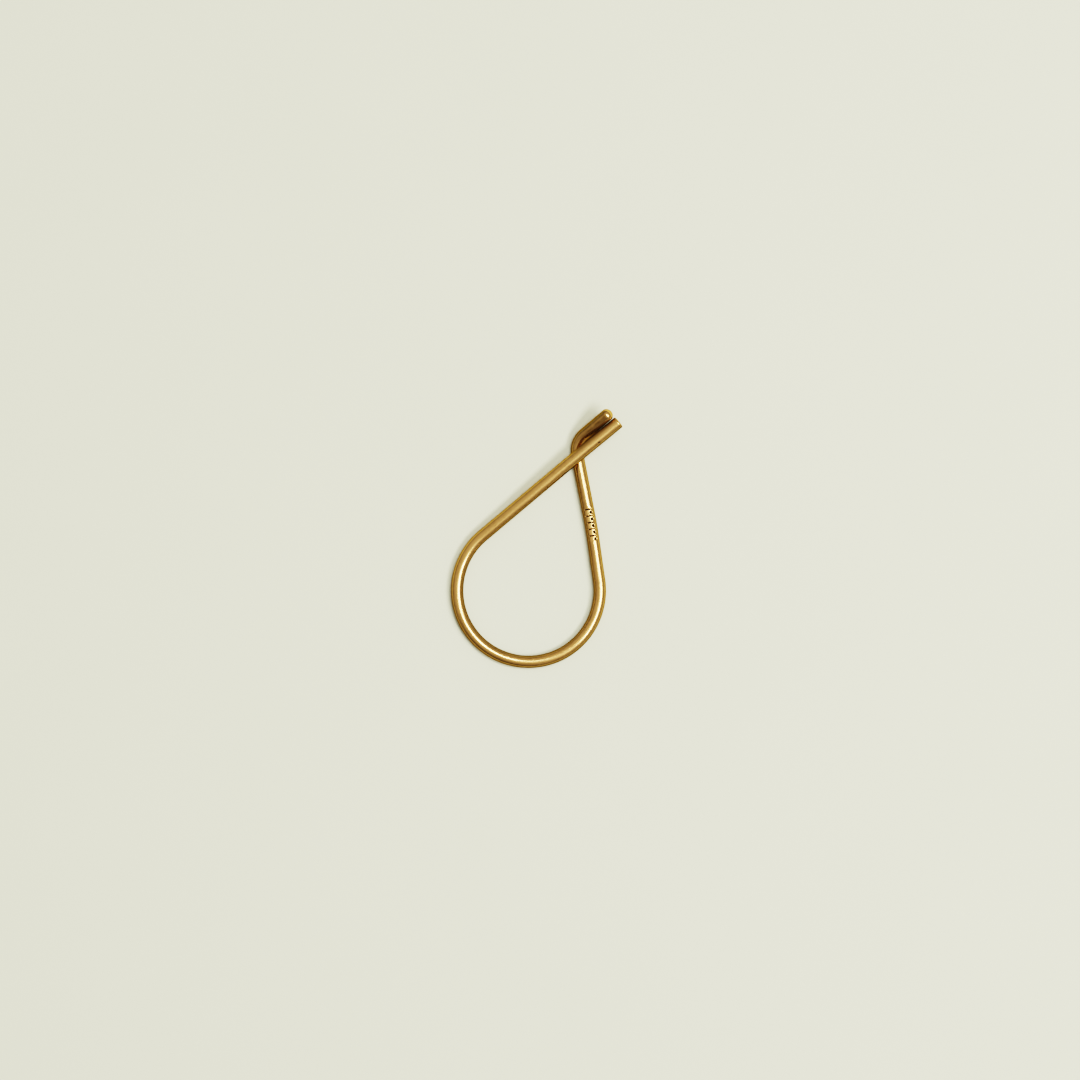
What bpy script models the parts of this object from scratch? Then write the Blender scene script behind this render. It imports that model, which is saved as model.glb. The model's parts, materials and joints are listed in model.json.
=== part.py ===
"""A drop-shaped key ring, bent from one solid brass wire, lying flat with +Z up.

Seen from above, the drop's round end, the bow, points to -Y and its arms cross towards +Y.
The hook arm passes under the crossing, and its end is bent into a hook that holds the latch
arm, which passes over. The wire is divided only where it flexes: at the bow's two sides,
where squeezing bends it, and at the middle of the bow, where lifting the latch arm twists it.
"""

from math import atan, ceil, cos, radians, sin, tan

import bmesh
import bpy
from mathutils import Matrix, Vector

# The wire, in metres
wire_diameter = 0.0030
rim_radius = 0.0004

# The bow, to the wire's centre line, and how far below its widest line its sides flex
bow_radius = 0.0171
side_flex_drop = radians(11.5)

# How far each arm leans from the drop's long axis, seen from above
latch_lean = radians(30.0)
hook_lean = radians(28.2)

# A soft extra lean partway along the hook arm, left by the bending tool
hook_set_place = 0.0092
hook_set = radians(2.8)
hook_set_radius = 0.140

# The hook: one tight bend, after which the wire's end points this far over the latch arm's tip
hook_bend_radius = 0.0050
hook_end_rise = 0.0012

# The latch arm past the crossing, where it is set a little away from the hook
latch_overhang = 0.0128
latch_set = radians(0.6)
latch_set_radius = 0.060

# Room between the latch arm and the arm below it, and between it and the hook's end
crossing_gap = 0.0003
hook_gap = 0.0001

# The cut across the wire at each place where it flexes
flex_gap = 0.0003

# Facets: sides round the wire, the largest step of a bend, and the steps of a rounded rim
wire_sides = 24
bend_step = radians(4)
rim_steps = 4

# The wire's surface, as raw brass that has been carried for a while
BRASS = (0.66, 0.42, 0.17, 1)
BRASS_ROUGHNESS = 0.34
SHARP_EDGE = radians(40)

# Angles from +X, seen from above: the bow's flexing places, and the way each arm runs
QUARTER_TURN = radians(90)
hook_side = -side_flex_drop
bow_middle = -QUARTER_TURN
latch_side = side_flex_drop - 2 * QUARTER_TURN
hook_turn = QUARTER_TURN + hook_lean
latch_turn = QUARTER_TURN - latch_lean

wire_radius = wire_diameter / 2
half_cut = flex_gap / 2 / bow_radius
UP = Vector((0, 0, 1))


def aim(turn, pitch=0):
    """A direction: turn is its angle from +X seen from above, and pitch how far it points up."""
    return Vector((cos(turn) * cos(pitch), sin(turn) * cos(pitch), sin(pitch)))


def on_bow(angle):
    """A point on the bow's centre line, with the bow's centre over X 0, Y 0 and its underside on Z 0."""
    return bow_radius * aim(angle) + wire_radius * UP


def plan_distance(place, heading, other_place, other_heading):
    """How far along heading two straight wires cross, seen from above."""
    across = UP.cross(other_heading)
    return (other_place - place).dot(across) / heading.dot(across)


class Bender:
    """A wire on the bench. Its end is fed straight on, or turned round a pin."""

    def __init__(self, place, heading):
        self.mesh = bmesh.new()
        self.place = place
        self.heading = heading
        facing = heading.to_track_quat("Z", "Y").to_matrix().to_4x4()
        bmesh.ops.create_circle(
            self.mesh,
            cap_ends=True,
            segments=wire_sides,
            radius=wire_radius,
            matrix=Matrix.Translation(place) @ facing,
        )
        self.end = next(iter(self.mesh.faces))

    def push(self, move):
        """Draw the end face out of the wire and carry it through one move."""
        made = bmesh.ops.extrude_face_region(self.mesh, geom=[self.end, *self.end.edges])
        self.end = next(item for item in made["geom"] if isinstance(item, bmesh.types.BMFace))
        bmesh.ops.transform(self.mesh, matrix=move, verts=self.end.verts)
        self.place = move @ self.place

    def feed(self, length):
        self.push(Matrix.Translation(self.heading * length))

    def pin_centre(self, heading, radius):
        """The centre of the pin that turns the wire from its own heading to this one."""
        axis = self.heading.cross(heading).normalized()
        return self.place + axis.cross(self.heading) * radius

    def turn(self, heading, radius):
        """Bend the wire round a pin until it points along heading. radius is to its centre line."""
        axis = self.heading.cross(heading).normalized()
        angle = self.heading.angle(heading)
        steps = ceil(angle / bend_step)
        pin = Matrix.Translation(self.pin_centre(heading, radius))
        move = pin @ Matrix.Rotation(angle / steps, 4, axis) @ pin.inverted()
        for _ in range(steps):
            self.push(move)
        self.heading = heading

    def round_rim(self):
        """Take the sharp edge off the wire's square-cut end."""
        bmesh.ops.bevel(
            self.mesh,
            geom=list(self.end.edges),
            offset=rim_radius,
            segments=rim_steps,
            profile=0.5,
            affect="EDGES",
            clamp_overlap=True,
        )


def bow_half(side):
    """Half of the bow, from its middle to the flex at one side: side is 1 on the hook arm's, else -1."""
    start = bow_middle + side * half_cut
    end = (hook_side if side > 0 else latch_side) - side * half_cut
    wire = Bender(on_bow(start), aim(start + side * QUARTER_TURN))
    wire.turn(aim(end + side * QUARTER_TURN), bow_radius)
    return wire


def hook_arm_to_crook():
    """The hook arm from the bow through its soft set. It lies flat on the table."""
    start = hook_side + half_cut
    wire = Bender(on_bow(start), aim(start + QUARTER_TURN))
    wire.turn(aim(hook_turn), bow_radius)
    wire.feed(hook_set_place)
    wire.turn(aim(hook_turn + hook_set), hook_set_radius)
    return wire


def latch_arm(below):
    """The latch arm. The end of the bow climbs evenly, so that the arm clears the wire below it."""
    start = latch_side - half_cut
    wire = Bender(on_bow(start), aim(start - QUARTER_TURN))
    flat_end = on_bow(latch_turn + QUARTER_TURN)
    corner = bow_radius * tan(wire.heading.angle(aim(latch_turn)) / 2)
    run = corner + plan_distance(flat_end, aim(latch_turn), below.place, below.heading)
    pitch = atan((wire_diameter + crossing_gap) / run)
    wire.turn(aim(latch_turn, pitch), bow_radius)
    wire.feed(plan_distance(wire.place, wire.heading, below.place, below.heading))
    wire.turn(aim(latch_turn - latch_set, pitch), latch_set_radius)
    wire.feed(latch_overhang - latch_set * latch_set_radius)
    wire.round_rim()
    return wire


def hook_end_pitch(wire, latch):
    """How steeply the hook's end climbs from the hook arm to just over the latch arm's tip."""
    beside = latch.place + UP.cross(aim(latch_turn)) * (wire_diameter + hook_gap)
    corner = wire.place + wire.heading * plan_distance(
        wire.place, wire.heading, beside, aim(latch_turn)
    )
    return atan((beside.z + hook_end_rise - corner.z) / (beside - corner).dot(aim(latch_turn)))


def bend_hook(wire, latch):
    """Bend the hook arm's end up beside the latch arm's end, just clear of it and level with its tip."""
    pitch = hook_end_pitch(wire, latch)
    heading = aim(latch_turn, pitch)
    pin = wire.pin_centre(heading, hook_bend_radius)
    bend = wire.heading.rotation_difference(heading)
    bend_end = pin + bend @ (wire.place - pin)
    apart = heading.cross(latch.heading).normalized()
    lacking = wire_diameter + hook_gap - (bend_end - latch.place).dot(apart)
    wire.feed(lacking / wire.heading.dot(apart))
    wire.turn(heading, hook_bend_radius)
    along = aim(latch_turn)
    tip = latch.place.dot(along) - wire_radius * sin(pitch)
    wire.feed((tip - wire.place.dot(along)) / cos(pitch))
    wire.round_rim()


def brass(name):
    material = bpy.data.materials.new(name)
    material.use_nodes = True
    shader = material.node_tree.nodes["Principled BSDF"]
    shader.inputs["Base Color"].default_value = BRASS
    shader.inputs["Metallic"].default_value = 1
    shader.inputs["Roughness"].default_value = BRASS_ROUGHNESS
    return material


def add_piece(name, wire, pivot, parent, parent_pivot):
    """Make a named object of a bent wire, with its origin on the joint that it turns about."""
    mesh = bpy.data.meshes.new(name)
    bmesh.ops.translate(wire.mesh, vec=-pivot, verts=wire.mesh.verts)
    bmesh.ops.recalc_face_normals(wire.mesh, faces=wire.mesh.faces)
    wire.mesh.to_mesh(mesh)
    wire.mesh.free()
    mesh.materials.append(brass(name + "_brass"))
    mesh.shade_smooth()
    mesh.set_sharp_from_angle(angle=SHARP_EDGE)
    piece = bpy.data.objects.new(name, mesh)
    piece.parent = parent
    piece.location = pivot - parent_pivot
    bpy.context.collection.objects.link(piece)
    return piece


def outline_middle(wires):
    """The point on the table under the middle of the whole outline."""
    corners = [vert.co for wire in wires for vert in wire.mesh.verts]
    sides = [[corner[side] for corner in corners] for side in range(2)]
    return Vector([(min(side) + max(side)) / 2 for side in sides] + [0])


def build_key_ring():
    for old in list(bpy.data.objects):
        bpy.data.objects.remove(old)
    hook = hook_arm_to_crook()
    latch = latch_arm(hook)
    bend_hook(hook, latch)
    hook_half = bow_half(1)
    latch_half = bow_half(-1)

    key_ring = bpy.data.objects.new("key_ring", None)
    key_ring.location = -outline_middle([hook, latch, hook_half, latch_half])
    bpy.context.collection.objects.link(key_ring)
    bow_centre = Vector()
    side_flex = on_bow(hook_side)
    middle_flex = on_bow(bow_middle)
    other_flex = on_bow(latch_side)
    root = add_piece("hook_arm", hook, side_flex, key_ring, bow_centre)
    near = add_piece("bow_hook_side", hook_half, side_flex, root, side_flex)
    far = add_piece("bow_latch_side", latch_half, middle_flex, near, side_flex)
    add_piece("latch_arm", latch, other_flex, far, middle_flex)


build_key_ring()
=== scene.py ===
# %% [markdown]
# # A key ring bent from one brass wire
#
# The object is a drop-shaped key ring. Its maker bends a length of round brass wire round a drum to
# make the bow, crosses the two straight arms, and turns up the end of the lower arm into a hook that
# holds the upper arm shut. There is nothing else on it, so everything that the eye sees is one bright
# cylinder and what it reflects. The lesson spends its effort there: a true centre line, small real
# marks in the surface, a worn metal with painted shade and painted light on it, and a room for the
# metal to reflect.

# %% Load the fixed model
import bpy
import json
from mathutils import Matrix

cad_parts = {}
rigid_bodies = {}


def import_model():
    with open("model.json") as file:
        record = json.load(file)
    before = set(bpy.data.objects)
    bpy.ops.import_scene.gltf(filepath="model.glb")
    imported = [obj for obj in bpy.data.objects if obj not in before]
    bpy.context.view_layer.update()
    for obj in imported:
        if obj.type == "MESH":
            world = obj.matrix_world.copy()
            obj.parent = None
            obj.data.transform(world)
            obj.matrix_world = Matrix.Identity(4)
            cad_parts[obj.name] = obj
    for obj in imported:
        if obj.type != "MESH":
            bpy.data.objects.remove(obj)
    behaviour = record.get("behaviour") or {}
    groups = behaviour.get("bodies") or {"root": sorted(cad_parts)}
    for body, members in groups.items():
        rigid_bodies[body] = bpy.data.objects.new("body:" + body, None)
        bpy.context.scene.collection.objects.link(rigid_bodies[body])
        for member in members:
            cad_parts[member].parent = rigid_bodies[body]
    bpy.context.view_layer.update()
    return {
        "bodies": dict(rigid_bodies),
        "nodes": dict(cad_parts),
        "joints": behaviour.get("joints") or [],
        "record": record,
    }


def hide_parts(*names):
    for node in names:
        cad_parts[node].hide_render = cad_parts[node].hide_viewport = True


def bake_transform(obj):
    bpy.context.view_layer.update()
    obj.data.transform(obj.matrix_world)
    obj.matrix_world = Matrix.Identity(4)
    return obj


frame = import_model()

# %% Blender's own modules
import json
from collections import namedtuple
from math import asin, atan2, cos, exp, pi, radians, sin, tan

import bpy
from mathutils import Matrix, Vector, noise
from mathutils.geometry import intersect_line_line

# One unit of the scene is a metre
MM = 0.001
UP = Vector((0, 0, 1))

# %% [markdown]
# ## What the model already knows
#
# The bow is part of a circle, and the places where it flexes lie on that circle. One of them is its
# lowest point on the page, so one more is enough to work out the radius, which isn't typed again. The
# wire lies on the table, so the height of its centre line is the wire's own radius. The two cut ends
# come with their places and directions.

# %% Read the bow and the two ends
flex = {joint["name"]: Vector(joint["pos_m"]) for joint in frame["joints"]}
ends = {mount["name"]: mount for mount in frame["record"]["mounts"]}
hook_flex = flex["squeeze"]
bow_middle = flex["lift"]
latch_flex = flex["squeeze_other_side"]
hook_tip = Vector(ends["hook_end"]["pos_m"])
latch_tip = Vector(ends["latch_end"]["pos_m"])
hook_end_heading = Vector(ends["hook_end"]["axis"]).normalized()
latch_end_heading = Vector(ends["latch_end"]["axis"]).normalized()

wire_radius = bow_middle.z
chord = hook_flex - bow_middle
# For a chord from a circle's lowest point, its length squared is twice the radius times its rise
bow_radius = chord.length_squared / (2 * chord.y)
bow_centre = bow_middle + Vector((0, bow_radius, 0))
print("wire", round(2 * wire_radius / MM, 2), "mm thick, bow radius", round(bow_radius / MM, 2), "mm")

# %% [markdown]
# ## The camera
#
# The picture is taken from straight above, from far enough away that the raised ends hardly grow. The
# drop leans to the right in it. A camera that looks straight down only needs a turn about the vertical
# to show that lean, and its place is where the middle of the picture falls on the table.

# %% Make the camera
IMAGE_PIXELS = 1080
pixel = 0.24 * MM
camera_height = 1.2
drop_lean = radians(20)
picture_middle = Vector((-1.55, -1.91, 0)) * MM

camera = bpy.data.objects.new("camera", bpy.data.cameras.new("camera"))
camera.data.lens = camera.data.sensor_width * camera_height / (IMAGE_PIXELS * pixel)
camera.location = picture_middle + camera_height * UP
camera.rotation_euler = (0, 0, drop_lean)
bpy.context.scene.collection.objects.link(camera)
bpy.context.scene.camera = camera
print("lens", round(camera.data.lens), "mm, picture", round(IMAGE_PIXELS * pixel / MM), "mm wide")

# %% [markdown]
# ## The centre line
#
# The wire could be a Bezier curve with a round bevel, but a curve only guesses at arcs. A wire bender
# makes exact ones: feed some wire, turn it round a pin, feed again. The class below does the same. It
# keeps each run as a rigid move, and carries a small frame along it (side, up, heading), so that a
# ring of points can be set square to the wire anywhere and never twists.

# %% A wire that is fed and bent
def aim(turn, pitch=0):
    """A direction: turn is its angle from +X seen from above, and pitch how far it points up."""
    return Vector((cos(turn) * cos(pitch), sin(turn) * cos(pitch), sin(pitch)))


class BentWire:
    """A centre line that grows run by run, with a ring frame carried along it."""

    def __init__(self, place, heading):
        self.frame = Matrix((UP.cross(heading), UP, heading)).transposed().to_4x4()
        self.frame.translation = place
        self.length = 0
        self.runs = []

    def place(self):
        return self.frame.translation.copy()

    def heading(self):
        return self.frame.to_3x3().col[2].copy()

    def add_run(self, length, move):
        self.runs.append((self.length, self.frame, move))
        self.frame = move(length) @ self.frame
        self.length += length

    def feed(self, length):
        heading = self.heading()
        self.add_run(length, lambda distance: Matrix.Translation(heading * distance))

    def bend(self, heading, radius):
        """Turn round a pin until the wire points along heading. radius is to the centre line."""
        axis = self.heading().cross(heading).normalized()
        pin = Matrix.Translation(self.place() + axis.cross(self.heading()) * radius)
        back = pin.inverted()
        angle = self.heading().angle(heading)
        self.add_run(
            angle * radius,
            lambda distance: pin @ Matrix.Rotation(distance / radius, 4, axis) @ back,
        )

    def reach(self, tip, heading, radius):
        """Feed, bend once and feed again, so that the wire ends at tip and points along heading."""
        here = self.place()
        corner, other_corner = intersect_line_line(here, here + self.heading(), tip, tip + heading)
        taken_by_bend = radius * tan(self.heading().angle(heading) / 2)
        self.feed((corner - here).length - taken_by_bend)
        self.bend(heading, radius)
        self.feed((tip - other_corner).length - taken_by_bend)

    def ring_frame(self, distance):
        """The frame at a distance along the wire: X to its side, Y up and Z along it."""
        start, frame, move = [run for run in self.runs if run[0] <= distance][-1]
        return move(distance - start) @ frame


# %% [markdown]
# Both halves start at the middle of the bow. The hook's half runs round the bow, up the hook arm and
# into the hook, with a faint second bend on the way that the bending tool left. The latch's half leaves
# the table towards the end of the bow, passes over the other arm, and is set a little away from the hook.
#
# The model keeps a tenth of a millimetre between the hook and the latch arm, so that its joints never
# rub. On the real ring the two touch, so here the hook's end is pressed over most of that gap.

# %% Bend the hook's half
hook_lean = radians(28.2)
hook_set_place = 9.2 * MM
hook_set = radians(2.8)
hook_set_radius = 140 * MM
hook_bend_radius = 5.0 * MM
hook_press = 0.06 * MM
pressed_tip = hook_tip + hook_press * hook_end_heading.cross(UP).normalized()

hook_way = BentWire(bow_middle, Vector((1, 0, 0)))
hook_way.bend(aim(pi / 2 + hook_lean), bow_radius)
hook_arm_start = hook_way.length
hook_way.feed(hook_set_place)
hook_way.bend(aim(pi / 2 + hook_lean + hook_set), hook_set_radius)
hook_way.reach(pressed_tip, hook_end_heading, hook_bend_radius)
print("hook half", round(hook_way.length / MM, 1), "mm long, ends",
      round((hook_way.place() - hook_tip).length / MM, 3), "mm from the model's end")

# %% Bend the latch's half
latch_set = radians(0.6)
latch_set_radius = 60 * MM

latch_pitch = asin(latch_end_heading.z)
latch_turn = atan2(latch_end_heading.y, latch_end_heading.x) + latch_set
latch_way = BentWire(bow_middle, Vector((-1, 0, 0)))
latch_way.bend((latch_flex - bow_centre).normalized().cross(UP), bow_radius)
latch_way.bend(aim(latch_turn, latch_pitch), bow_radius)
latch_way.reach(latch_tip, latch_end_heading, latch_set_radius)
print("latch half", round(latch_way.length / MM, 1), "mm long, ends",
      round((latch_way.place() - latch_tip).length / MM, 3), "mm from the model's end")

# %% One way along the whole wire
ABOUT_UP = Matrix.Rotation(pi, 4, "Y")


def ring_frame(place):
    """The ring frame at a distance from the bow's middle, which is negative towards the hook's end."""
    if place < 0:
        return hook_way.ring_frame(-place) @ ABOUT_UP
    return latch_way.ring_frame(place)


print("the wire is", round((hook_way.length + latch_way.length) / MM), "mm long")

# %% [markdown]
# ## Marks in the metal
#
# Raw wire isn't a perfect cylinder. Drawing and bending leave it faintly wavy, and a row of plain
# punched bars and dots on the hook arm sits in a strip that the punch has flattened. Pockets add a nick
# on the latch arm and a few softer dents. They change how light runs along the wire, so they go into
# the mesh as real depth and not only into the shading. Each mark is placed by how far along the wire it
# lies, and by how far round from the top. Positive is to the right of someone who walks from hook to
# latch, on the inner side of the drop. Where the arms rub together no finger or cloth reaches, so grime
# gathers there as it does in the marks. The same dark colour there is also painted shade, for the
# shaded gap between the arms.

# %% Limits and soft edges
def within(value):
    """The value, kept from 0 to 1."""
    return max(0, min(1, value))


def dip(across):
    """1 where across is 0, falling smoothly to 0 where across reaches 1 on either side."""
    return max(0, 1 - across * across) ** 2


# %% The punched row
Mark = namedtuple("Mark", "place side half_length radius depth")

mark_count = 10
mark_pitch = 0.8 * MM
bar_half_length = 0.75 * MM
bar_radius = 0.21 * MM
bar_depth = 0.17 * MM
dot_side = -0.58 * MM
dot_radius = 0.46 * MM
dot_depth = 0.28 * MM
# A mark is full of dirt wherever it is deeper than a dot's depth divided by this
punch_dirt = 3.0
# A punch raises a lip round each mark. Its place and its width are in mark radii.
lip_height = 0.016 * MM
lip_reach = 1.1
lip_width = 0.22
row_middle = -(hook_arm_start + 13.6 * MM)
row_half_length = mark_pitch * (mark_count - 1) / 2
flat_margin = 0.8 * MM
flat_depth = 0.11 * MM
flat_half_angle = radians(36)


def make_mark(number):
    """A bar or a dot. They take turns, starting with a bar at the end nearest to the hook."""
    place = row_middle - row_half_length + mark_pitch * number
    if number % 2:
        return Mark(place, dot_side, 0, dot_radius, dot_depth)
    return Mark(place, 0, bar_half_length, bar_radius, bar_depth)


marks = [make_mark(number) for number in range(mark_count)]
first_place, last_place = [round(mark.place / MM, 1) for mark in (marks[0], marks[-1])]
print(mark_count, "marks, from", first_place, "to", last_place, "mm")

# %% Nicks and dents
Dent = namedtuple("Dent", "place angle half_length half_width depth")

nick = Dent(latch_way.length - 6.75 * MM, radians(33), 0.46 * MM, 0.34 * MM, 0.12 * MM)
bow_dent = Dent(14.8 * MM, radians(-16), 0.9 * MM, 0.45 * MM, 0.02 * MM)
bottom_dent = Dent(-8.9 * MM, radians(-22), 1.1 * MM, 0.4 * MM, 0.018 * MM)
pin_mark = Dent(-34.6 * MM, radians(10), 1.0 * MM, 0.8 * MM, 0.03 * MM)
dents = [nick, bow_dent, bottom_dent, pin_mark]
# A dent is full of dirt wherever it is deeper than the nick's depth divided by this
dent_dirt = 2.0
print(len(dents), "nicks and dents, the deepest", round(nick.depth / MM, 2), "mm deep")

# %% Grime and painted shade between the arms
# Places are measured from each arm's end, and the angle is that of the side that faces the other arm
# The dark colour here is partly grime and partly painted shade for the shaded gap between the arms
grime_and_shade_middle = 6.5 * MM
grime_and_shade_half_length = 8.5 * MM
grime_and_shade_angle = radians(-85)
grime_and_shade_half_angle = radians(100)
grime_and_shade_share = 0.85


def grime_and_shade_between_arms(place, top_angle):
    """How much grime and painted shade cover the facing sides of the two arms, from the crossing to their
    ends.
    """
    from_end = min(place + hook_way.length, latch_way.length - place)
    along = (from_end - grime_and_shade_middle) / grime_and_shade_half_length
    across = (top_angle - grime_and_shade_angle) / grime_and_shade_half_angle
    return grime_and_shade_share * dip(along * along) * dip(across)


# %% How deep the surface lies at any place
wave_length = 3.4 * MM
wave_depth = 0.007 * MM


def punched(place, top_angle):
    """Depth and dirt of the flattened strip and its bars and dots."""
    along = max(0, abs(place - row_middle) - row_half_length) / flat_margin
    flat = flat_depth * dip(top_angle / flat_half_angle) * dip(along)
    hole = 0
    lip = 0
    dirt = 0
    for mark in marks:
        across = max(0, abs(wire_radius * top_angle - mark.side) - mark.half_length)
        reach = ((place - mark.place) ** 2 + across**2) ** 0.5 / mark.radius
        sunk = mark.depth * dip(reach)
        hole = max(hole, sunk)
        lip = max(lip, exp(-(((reach - lip_reach) / lip_width) ** 2)))
        dirt = max(dirt, within(punch_dirt * sunk / dot_depth))
    return flat + hole - lip_height * lip, dirt


def dented(place, top_angle):
    """Depth and dirt of the nick and the softer dents."""
    depth = 0
    dirt = 0
    for dent in dents:
        along = (place - dent.place) / dent.half_length
        across = wire_radius * (top_angle - dent.angle) / dent.half_width
        sunk = dent.depth * dip((along * along + across * across) ** 0.5)
        depth += sunk
        dirt = max(dirt, within(dent_dirt * sunk / nick.depth))
    return depth, dirt


def near_marks(place):
    """Whether a ring at this place runs through a mark."""
    if abs(place - row_middle) < row_half_length + flat_margin:
        return True
    return any(abs(place - dent.place) < dent.half_length for dent in dents)


def from_top(angle):
    """The angle from the wire's top, up to half a turn each way. angle starts at the wire's left side."""
    return (angle - pi / 2 + pi) % (2 * pi) - pi


def surface_depth(place, angle, marked):
    """Depth below the true cylinder, and how much grime has settled there, with painted shade between the
    arms.
    """
    round_place = Vector((cos(angle) * wire_radius, sin(angle) * wire_radius, place)) / wave_length
    depth = wave_depth * noise.noise(round_place)
    top_angle = from_top(angle)
    # Between the arms this share is grime and painted shade
    dirt = grime_and_shade_between_arms(place, top_angle)
    if not marked:
        return depth, dirt
    punched_depth, punched_dirt = punched(place, top_angle)
    dented_depth, dented_dirt = dented(place, top_angle)
    return depth + punched_depth + dented_depth, max(dirt, punched_dirt, dented_dirt)


# %% [markdown]
# ## Rings along the wire
#
# A swept surface is a list of rings. They stand close together where there is something to show, at
# the marks and in the tight bend of the hook, and further apart where the wire is plain. At each cut
# end the rings shrink to nearly nothing. The hook's end is filed to a dome, because it points up and
# would catch on a pocket. The latch's end is nearly flat, and only its sharp rim is gone. One curve
# makes both: its exponent is 1 for an ellipse, and less for a blunter end.

# %% Where the rings stand
plain_step = 0.3 * MM
bend_step = 0.15 * MM
fine_step = 0.07 * MM
# How far from the hook's end its rings stand closer, for the tight bend
hook_bend_length = 16 * MM
# The pieces meet this far round the bow, on both sides of its middle
seam_angle = radians(45)
seam = bow_radius * seam_angle


def ring_step(place):
    """How far it is from a ring to the next one."""
    if near_marks(place) or near_marks(place + plain_step):
        return fine_step
    if place < hook_bend_length - hook_way.length or abs(abs(place) - seam) < plain_step:
        return bend_step
    return plain_step


def ring_places(start, end):
    """Places from start to end, both of them included."""
    places = [start]
    while end - places[-1] > plain_step / 2:
        places.append(min(places[-1] + ring_step(places[-1]), end))
    places[-1] = end
    return places


print("the pieces meet", round(seam / MM, 1), "mm either side of the bow's middle")

# %% The rounded ends
Dome = namedtuple("Dome", "height behind exponent")

END_STEPS = 26
hook_dome = Dome(height=1.3 * MM, behind=0.6 * MM, exponent=0.9)
latch_dome = Dome(height=0.5 * MM, behind=0.46 * MM, exponent=0.5)


def end_rings(length, dome):
    """Distance along the wire and radius of each ring of an end that starts behind the cut."""
    rings = []
    for step in range(1, END_STEPS):
        # A quarter turn in all, with short steps where the dome meets the wire and where it closes
        angle = pi / 4 * (1 - cos(pi * step / END_STEPS))
        distance = length - dome.behind + dome.height * sin(angle) ** dome.exponent
        rings.append((distance, wire_radius * cos(angle) ** dome.exponent))
    return rings


print("domes of", round(hook_dome.height / MM, 1), "and", round(latch_dome.height / MM, 1), "mm")

# %% [markdown]
# ## Three pieces, one skin
#
# The real wire is one piece, but this one has to flex: squeezing bends it at both sides of the bow, and
# lifting twists it at the bottom. Each piece of mesh can bend across one joint only, so the skin is cut
# into three, at two places that stay stiff. Neighbours share the points of the ring between them, so
# the cut doesn't show at rest.
#
# Every point also stores where it lies on the wire, as a place in a straight wire. The metal's texture
# reads that place, so its draw lines follow the bends. It stores three shares too: of dirt, which
# between the arms is also painted shade; of shade painted on the wire's flanks, which is stored as
# film; and of clean metal, which on the arms' outer sides stands for painted light.

# %% Painted flank shade, clean metal and painted light
# Shade painted on the wire's flanks, which darkens its rims seen from above: the height above and
# below the wire's middle where it is darkest, and how far it reaches up and down from there, in wire
# radii
flank_shade_height = 0.45
flank_shade_reach = 0.45
# The arms' left sides, seen from hook to latch, are painted lighter, more and more between these two
# distances from the bow's middle: the film and the painted shade are lifted there. Those are the
# drop's outer sides. Past the crossing they face each other and are grimy, with painted shade.
side_light_starts = 18 * MM
side_light_full = 30 * MM
side_light_share = 0.5
# How far to the left of the wire's middle the painted light is full, in wire radii
side_light_offset = 0.5
# How quickly an end turns to clean filed metal as its radius shrinks
filing_reach = 3


def flank_shade(angle):
    """How much shade is painted on the wire's flanks. angle starts at its left side."""
    return dip((abs(sin(angle)) - flank_shade_height) / flank_shade_reach)


def painted_side_light(place, angle):
    """How much the film and painted shade are lifted, to paint the side lighter. angle starts at the
    wire's left side.
    """
    on_arm = within((abs(place) - side_light_starts) / (side_light_full - side_light_starts))
    return side_light_share * on_arm * within(cos(angle) / side_light_offset)


# %% The points of a ring
# A point's dirt is grime, and painted shade too between the arms; its film is shade painted on the
# flanks; its clean share is filed metal, and painted light on the arms' outer sides
SkinPoint = namedtuple("SkinPoint", "place wire_place dirt film clean")
RING_SIDES = 96


def ring_points(place, radius):
    """The points of the ring at a place. One past the wire's end lies straight on from it."""
    on_wire = max(-hook_way.length, min(latch_way.length, place))
    frame_here = ring_frame(on_wire)
    overrun = place - on_wire
    marked = near_marks(place)
    filed = within(filing_reach * (1 - radius / wire_radius))
    points = []
    for side in range(RING_SIDES):
        angle = 2 * pi * side / RING_SIDES
        depth, dirt = surface_depth(place, angle, marked)
        reach = radius - depth
        # Filed ends are clean metal, and the arms' outer sides are painted lighter; below, film is
        # painted flank shade, and dirt is grime with painted shade between the arms
        clean = max(filed, painted_side_light(place, angle))
        points.append(SkinPoint(
            place=frame_here @ Vector((cos(angle) * reach, sin(angle) * reach, overrun)),
            wire_place=Vector((cos(angle) * radius, sin(angle) * radius, place)),
            dirt=dirt * (1 - filed),
            film=flank_shade(angle) * (1 - clean),
            clean=clean,
        ))
    return points


# %% Build the skin of a stretch
SHARP_EDGE = radians(40)


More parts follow.
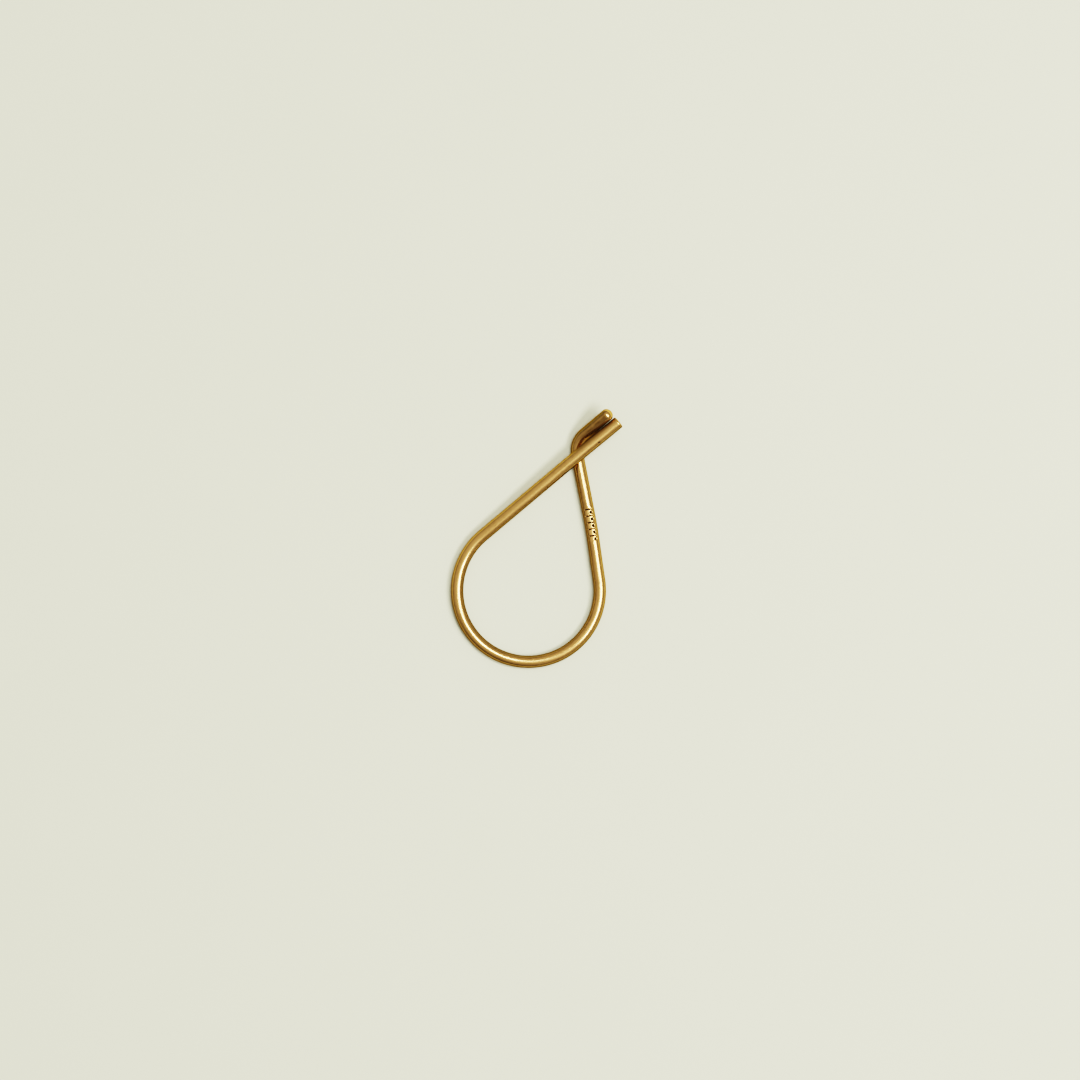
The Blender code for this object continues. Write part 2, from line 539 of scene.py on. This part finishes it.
def add_wire_piece(name, rings):
    """A closed mesh through these rings, which are pairs of a place and a radius."""
    rows = [ring_points(place, radius) for place, radius in rings]
    points = [point for row in rows for point in row]
    faces = []
    for row in range(len(rows) - 1):
        for side in range(RING_SIDES):
            after = (side + 1) % RING_SIDES
            first = row * RING_SIDES
            second = first + RING_SIDES
            faces.append((first + side, first + after, second + after, second + side))
    faces.append(tuple(reversed(range(RING_SIDES))))
    faces.append(tuple(range(len(points) - RING_SIDES, len(points))))
    mesh = bpy.data.meshes.new(name)
    mesh.from_pydata([point.place for point in points], [], faces)
    wire_places = mesh.attributes.new("wire_place", "FLOAT_VECTOR", "POINT")
    wire_places.data.foreach_set("vector", [axis for point in points for axis in point.wire_place])
    # These shares carry grime with painted shade, painted flank shade, and filed metal with painted light
    for share in ("dirt", "film", "clean"):
        shares = mesh.attributes.new(share, "FLOAT", "POINT")
        shares.data.foreach_set("value", [getattr(point, share) for point in points])
    mesh.shade_smooth()
    mesh.set_sharp_from_angle(angle=SHARP_EDGE)
    piece = bpy.data.objects.new(name, mesh)
    bpy.context.scene.collection.objects.link(piece)
    print(name, "has", len(rings), "rings and", len(mesh.polygons), "faces")
    return piece


# %% Make the three pieces
def plain_rings(start, end):
    """Rings of the wire's full radius, from start to end."""
    return [(place, wire_radius) for place in ring_places(start, end)]


hook_end_rings = [(-place, radius) for place, radius in reversed(end_rings(hook_way.length, hook_dome))]
latch_end_rings = end_rings(latch_way.length, latch_dome)
hook_piece = add_wire_piece(
    "hook_arm_wire", hook_end_rings + plain_rings(hook_dome.behind - hook_way.length, -seam)
)
bow_piece = add_wire_piece("bow_wire", plain_rings(-seam, seam))
latch_piece = add_wire_piece(
    "latch_arm_wire", plain_rings(seam, latch_way.length - latch_dome.behind) + latch_end_rings
)
wire_pieces = [hook_piece, bow_piece, latch_piece]

# %% [markdown]
# ## Brass that has been carried
#
# Brass is copper with about a third of zinc. Drawn wire comes through a die, which leaves fine lines
# along it, and a bare ring soon gets a thin brown film from hands. So the eye sees three things: a warm
# gold, darker and redder where the film is thick; a satin gloss that smears reflections; and rims that
# look much darker than the middle. The dark rims are painted shade, in two layers: a dark brown painted
# on the wire's flanks, between its top and its widest, and one painted where the surface turns away
# from the eye. The arms' outer sides are painted lighter, with film and painted shade lifted there,
# and the filed ends are clean. The grime in the marks and between the arms is matt, so even a lamp's
# reflection stays dim in it. Between the arms it is also painted shade.

# %% Colour values
def colour(hex_code):
    """A colour written as sRGB hex, as the linear values that shaders work in."""
    values = [int(hex_code[start : start + 2], 16) / 255 for start in (1, 3, 5)]
    return [v / 12.92 if v <= 0.04045 else ((v + 0.055) / 1.055) ** 2.4 for v in values] + [1]


# %% A node with its settings and links
def add_node(tree, kind, inputs=None, **settings):
    """Add one node. inputs gives each socket a value, or the output socket that feeds it."""
    node = tree.nodes.new(kind)
    for name, value in settings.items():
        setattr(node, name, value)
    for socket, value in (inputs or {}).items():
        if isinstance(value, bpy.types.NodeSocket):
            tree.links.new(value, node.inputs[socket])
        else:
            node.inputs[socket].default_value = value
    return node


def new_material(name):
    """An empty material, with its node tree, its shader and the output that the shader feeds."""
    material = bpy.data.materials.new(name)
    material.use_nodes = True
    return material, material.node_tree, material.node_tree.nodes["Principled BSDF"]


# %% The brass's colours and gloss
BRASS_POLISHED = "#dea965"
BRASS_FILMED = "#926c3a"
# Painted shade on the wire's flanks, between its top and its widest, which darkens its rims
BRASS_FLANK_SHADE = "#6d5734"
# Painted shade at the wire's rims, where its surface turns away from the eye
BRASS_RIM_SHADE = "#2e261b"
# Grime in the marks, and grime and painted shade between the arms
BRASS_GRIME_AND_SHADE = "#241d13"
# The tint of what the metal reflects where light only grazes it
BRASS_EDGE = "#c9a878"
GLOSSY_ROUGHNESS = 0.15
DULL_ROUGHNESS = 0.24
# Full grime adds this to the metal's own roughness
GRIME_ROUGHNESS = 0.5
# Shade is painted more and more between these two values of facing, which is 0 where the surface
# faces the eye and 1 at its rim
RIM_SHADE_STARTS = 0.25
RIM_SHADE_FULL = 0.65
RIM_SHADE_SHARE = 0.6

# %% Layers on the brass
# A Mix node keeps its colour sockets behind those for plain numbers and vectors
MIX_SHARE, MIX_FIRST, MIX_SECOND, MIX_RESULT = 0, 6, 7, 2


def brass_colour(tree, patchy_film, dirt, clean):
    """Polished brass under patches of film, painted shade on its flanks and rims, and grime and shade."""
    # The film attribute holds the shade painted on the wire's flanks
    flank_shade = add_node(tree, "ShaderNodeAttribute", attribute_name="film").outputs["Fac"]
    # Painted shade that grows towards the rims, as the surface turns away from the eye
    facing = add_node(tree, "ShaderNodeLayerWeight", {"Blend": 0.5}).outputs["Facing"]
    rim_shade = add_node(
        tree,
        "ShaderNodeMapRange",
        {
            "Value": facing,
            "From Min": RIM_SHADE_STARTS,
            "From Max": RIM_SHADE_FULL,
            "To Max": RIM_SHADE_SHARE,
        },
        interpolation_type="SMOOTHSTEP",
    ).outputs["Result"]
    # Filed ends and the painted lighter sides keep less film and rim shade
    kept_share = add_node(tree, "ShaderNodeMath", {0: 1.0, 1: clean}, operation="SUBTRACT").outputs[0]
    kept_film = add_node(
        tree, "ShaderNodeMath", {0: patchy_film, 1: kept_share}, operation="MULTIPLY"
    ).outputs[0]
    kept_rim_shade = add_node(
        tree, "ShaderNodeMath", {0: rim_shade, 1: kept_share}, operation="MULTIPLY"
    ).outputs[0]

    # Patchy film, painted flank shade, painted rim shade, then grime that is also shade between the arms
    layers = [
        (kept_film, BRASS_FILMED),
        (flank_shade, BRASS_FLANK_SHADE),
        (kept_rim_shade, BRASS_RIM_SHADE),
        (dirt, BRASS_GRIME_AND_SHADE),
    ]
    metal = colour(BRASS_POLISHED)
    for share, layer in layers:
        metal = add_node(
            tree,
            "ShaderNodeMix",
            {MIX_SHARE: share, MIX_FIRST: metal, MIX_SECOND: colour(layer)},
            data_type="RGBA",
        ).outputs[MIX_RESULT]
    return metal


# %% [markdown]
# The draw lines are noise that is stretched along the wire. On real wire they are a few hundredths of
# a millimetre apart, too fine to show in the picture, so they are drawn a quarter of a millimetre apart.
# The film is patchy, in rounder noise with patches of about a millimetre, and the same draw lines break
# it into streaks. A much finer grain roughens all. Each noise reads the place on the straight wire, and
# so follows every bend.

# %% The brass's patterns
line_spacing = 0.25 * MM
line_length = 9 * MM
line_height = 0.005 * MM
patch_size = 0.9 * MM
grain_size = 0.12 * MM
grain_height = 0.0006 * MM
# Noise runs from 0 to 1. Film grows between these values of it, in the patches and in the lines.
PATCH_STARTS = 0.35
PATCH_FULL = 0.7
STREAK_STARTS = 0.4
STREAK_FULL = 0.65


def brass_patterns(tree):
    """The draw lines, the patches of film and the grain, as noise on the straight wire."""
    place = add_node(tree, "ShaderNodeAttribute", attribute_name="wire_place").outputs["Vector"]
    per_line = (1 / line_spacing, 1 / line_spacing, 1 / line_length)
    stretched = add_node(
        tree, "ShaderNodeVectorMath", {0: place, 1: per_line}, operation="MULTIPLY"
    ).outputs[0]
    lines = add_node(
        tree, "ShaderNodeTexNoise", {"Vector": stretched, "Scale": 1.0, "Detail": 3.0}
    ).outputs["Fac"]
    patches = add_node(
        tree, "ShaderNodeTexNoise", {"Vector": place, "Scale": 1 / patch_size, "Detail": 4.0}
    ).outputs["Fac"]
    grain = add_node(
        tree, "ShaderNodeTexNoise", {"Vector": place, "Scale": 1 / grain_size, "Detail": 2.0}
    ).outputs["Fac"]
    film = add_node(
        tree,
        "ShaderNodeMapRange",
        {"Value": patches, "From Min": PATCH_STARTS, "From Max": PATCH_FULL},
    ).outputs["Result"]
    return lines, film, grain


# %% The brass
def drawn_brass():
    """Drawn brass wire with a brown film, painted rim shade, and grime in its dents and, as painted shade
    too, between the arms.
    """
    material, tree, shader = new_material("drawn_brass")
    lines, film, grain = brass_patterns(tree)
    # The dirt attribute holds grime, and between the arms painted shade as well
    dirt = add_node(tree, "ShaderNodeAttribute", attribute_name="dirt").outputs["Fac"]
    clean = add_node(tree, "ShaderNodeAttribute", attribute_name="clean").outputs["Fac"]

    streaks = add_node(
        tree,
        "ShaderNodeMapRange",
        {"Value": lines, "From Min": STREAK_STARTS, "From Max": STREAK_FULL},
    ).outputs["Result"]
    streaked_film = add_node(
        tree, "ShaderNodeMath", {0: film, 1: streaks}, operation="MULTIPLY"
    ).outputs[0]
    tree.links.new(brass_colour(tree, streaked_film, dirt, clean), shader.inputs["Base Color"])

    roughness = add_node(
        tree,
        "ShaderNodeMapRange",
        {"Value": film, "To Min": GLOSSY_ROUGHNESS, "To Max": DULL_ROUGHNESS},
    ).outputs["Result"]
    roughened = add_node(
        tree, "ShaderNodeMath", {0: dirt, 1: GRIME_ROUGHNESS, 2: roughness}, operation="MULTIPLY_ADD"
    ).outputs[0]
    tree.links.new(roughened, shader.inputs["Roughness"])

    lined = add_node(
        tree, "ShaderNodeBump", {"Height": lines, "Distance": line_height}
    ).outputs["Normal"]
    grained = add_node(
        tree, "ShaderNodeBump", {"Height": grain, "Distance": grain_height, "Normal": lined}
    ).outputs["Normal"]
    tree.links.new(grained, shader.inputs["Normal"])

    shader.inputs["Metallic"].default_value = 1
    shader.inputs["Specular Tint"].default_value = colour(BRASS_EDGE)
    return material


# %% Give the pieces their metal
brass = drawn_brass()
for piece in wire_pieces:
    piece.data.materials.append(brass)
print("draw lines are drawn", round(line_spacing / MM, 2), "mm apart")

# %% [markdown]
# ## The pieces in place
#
# Each piece's placement is baked into its mesh, and the model's own parts for the arms and the bow
# are hidden.


def flex_over(piece):
    """Bake piece's placement into its mesh."""
    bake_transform(piece)


flex_over(hook_piece)
flex_over(bow_piece)
flex_over(latch_piece)
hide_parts("hook_arm")
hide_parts("bow_hook_side", "bow_latch_side")
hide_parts("latch_arm")

# %% [markdown]
# ## The paper under it
#
# The ring lies on plain uncoated paper. It is nearly white with a green-grey cast, and it scatters
# light evenly to all sides, so it shows the wire's soft shadow and no reflection. A very faint
# cloudiness keeps it from looking like a flat fill.

# %% Lay the paper
PAPER_LIGHT = "#d3d3b4"
PAPER_CLOUD = "#cfd0b1"
PAPER_ROUGHNESS = 0.9
PAPER_GLOSS = 0.2
paper_half_side = 2.0
cloud_size = 40 * MM
fibre_size = 0.4 * MM
fibre_height = 0.02 * MM


def uncoated_paper():
    """Uncoated paper: matt, faintly cloudy, with fibres too fine to see but for a little tooth."""
    material, tree, shader = new_material("uncoated_paper")
    place = add_node(tree, "ShaderNodeTexCoord").outputs["Object"]
    clouds = add_node(
        tree, "ShaderNodeTexNoise", {"Vector": place, "Scale": 1 / cloud_size, "Detail": 3.0}
    ).outputs["Fac"]
    fibres = add_node(
        tree, "ShaderNodeTexNoise", {"Vector": place, "Scale": 1 / fibre_size, "Detail": 3.0}
    ).outputs["Fac"]
    cloudy = add_node(
        tree,
        "ShaderNodeMix",
        {MIX_SHARE: clouds, MIX_FIRST: colour(PAPER_LIGHT), MIX_SECOND: colour(PAPER_CLOUD)},
        data_type="RGBA",
    ).outputs[MIX_RESULT]
    tree.links.new(cloudy, shader.inputs["Base Color"])
    toothed = add_node(tree, "ShaderNodeBump", {"Height": fibres, "Distance": fibre_height})
    tree.links.new(toothed.outputs["Normal"], shader.inputs["Normal"])
    shader.inputs["Roughness"].default_value = PAPER_ROUGHNESS
    shader.inputs["Specular IOR Level"].default_value = PAPER_GLOSS
    return material


corners = [(-1, -1), (1, -1), (1, 1), (-1, 1)]
paper_mesh = bpy.data.meshes.new("paper")
paper_mesh.from_pydata(
    [(x * paper_half_side, y * paper_half_side, 0) for x, y in corners], [], [(0, 1, 2, 3)]
)
paper_mesh.materials.append(uncoated_paper())
paper = bpy.data.objects.new("paper", paper_mesh)
bpy.context.scene.collection.objects.link(paper)
print("the paper is", round(2 * paper_half_side), "m wide")

# %% [markdown]
# ## A room for the brass to reflect
#
# A round wire seen from above mirrors only the part of the room that lies square to it. So every
# stretch of the wire tells where the lamps are. A white line runs along the hook arm and the left of
# the bow, to the right of the wire's middle: that is a softbox high on the right. At the lower left
# the line lies nearly on the wire's middle: that is a second one, almost overhead. A third, much
# weaker, gives the latch arm a soft gold line along its right side. The stretches without a line look
# at the room itself, which has a pale ceiling and dimmer walls, and is darkest at the lower left,
# where the photographer stands.

# %% Directions in the picture
def from_picture(turn, zenith):
    """A direction: turn is its angle in the picture (0 right, 90 up), zenith that from straight up."""
    return aim(radians(turn) + drop_lean, radians(90 - zenith))


# %% The lamps
def add_softbox(name, turn, zenith, distance, width, height, spin, radiance):
    """A softbox that faces the ring. Its width is level until spin turns it, seen from the ring."""
    light = bpy.data.lights.new(name, "AREA")
    light.shape = "RECTANGLE"
    light.size = width
    light.size_y = height
    light.energy = radiance * pi * width * height
    direction = from_picture(turn, zenith)
    level = direction.cross(UP).normalized()
    axes = Matrix((level, direction.cross(level), direction)).transposed().to_4x4()
    lamp = bpy.data.objects.new(name, light)
    lamp.matrix_world = (
        Matrix.Translation(picture_middle + direction * distance)
        @ axes
        @ Matrix.Rotation(radians(spin), 4, "Z")
    )
    bpy.context.scene.collection.objects.link(lamp)
    print(name, "gives", round(light.energy, 1), "W")


add_softbox(
    "softbox_right", turn=-13, zenith=28.5, distance=1.1, width=0.52, height=0.23, spin=-22, radiance=31
)
add_softbox(
    "softbox_top", turn=43, zenith=14.5, distance=1.2, width=0.34, height=0.24, spin=30, radiance=35
)
add_softbox(
    "softbox_low", turn=-50, zenith=17, distance=1.2, width=0.42, height=0.7, spin=0, radiance=0.85
)

# %% The room
ROOM_COLOUR = "#fffdf8"
# How bright it is level with the ring and straight above it, and how quickly the ceiling's light falls
room_wall = 0.24
room_ceiling = 0.72
room_falloff = 1.1
# Where the photographer stands, as a direction in the picture, and how much light they take away there
person_turn = 238
person_zenith = 75
person_shade = 0.7
person_falloff = 3.0


def nearness(tree, towards, direction, falloff):
    """1 where a view ray points along this direction, falling to 0 at right angles to it."""
    along = add_node(
        tree, "ShaderNodeVectorMath", {0: towards, 1: direction}, operation="DOT_PRODUCT"
    ).outputs["Value"]
    in_front = add_node(tree, "ShaderNodeMath", {0: along, 1: 0.0}, operation="MAXIMUM").outputs[0]
    return add_node(tree, "ShaderNodeMath", {0: in_front, 1: falloff}, operation="POWER").outputs[0]


room = bpy.data.worlds.new("room")
room.use_nodes = True
bpy.context.scene.world = room
towards = add_node(room.node_tree, "ShaderNodeTexCoord").outputs["Generated"]
strength = add_node(
    room.node_tree,
    "ShaderNodeMapRange",
    {
        "Value": nearness(room.node_tree, towards, UP, room_falloff),
        "To Min": room_wall,
        "To Max": room_ceiling,
    },
).outputs["Result"]
shade = add_node(
    room.node_tree,
    "ShaderNodeMapRange",
    {
        "Value": nearness(
            room.node_tree, towards, from_picture(person_turn, person_zenith), person_falloff
        ),
        "To Min": 1.0,
        "To Max": 1 - person_shade,
    },
).outputs["Result"]
shaded = add_node(
    room.node_tree, "ShaderNodeMath", {0: strength, 1: shade}, operation="MULTIPLY"
).outputs[0]
background = room.node_tree.nodes["Background"]
background.inputs["Color"].default_value = colour(ROOM_COLOUR)
room.node_tree.links.new(shaded, background.inputs["Strength"])
print("the room's brightness runs from", room_wall, "at its walls to", room_ceiling, "overhead")

# %% [markdown]
# The film curve matters as much as the lamps. Brass in a plain linear picture burns out to flat yellow
# where it is brightest. A film-like curve lets it roll off to a warm white, as the picture does.

# %% The film curve
bpy.context.scene.view_settings.view_transform = "Filmic"
bpy.context.scene.view_settings.look = "High Contrast"
print("film curve:", bpy.context.scene.view_settings.view_transform)
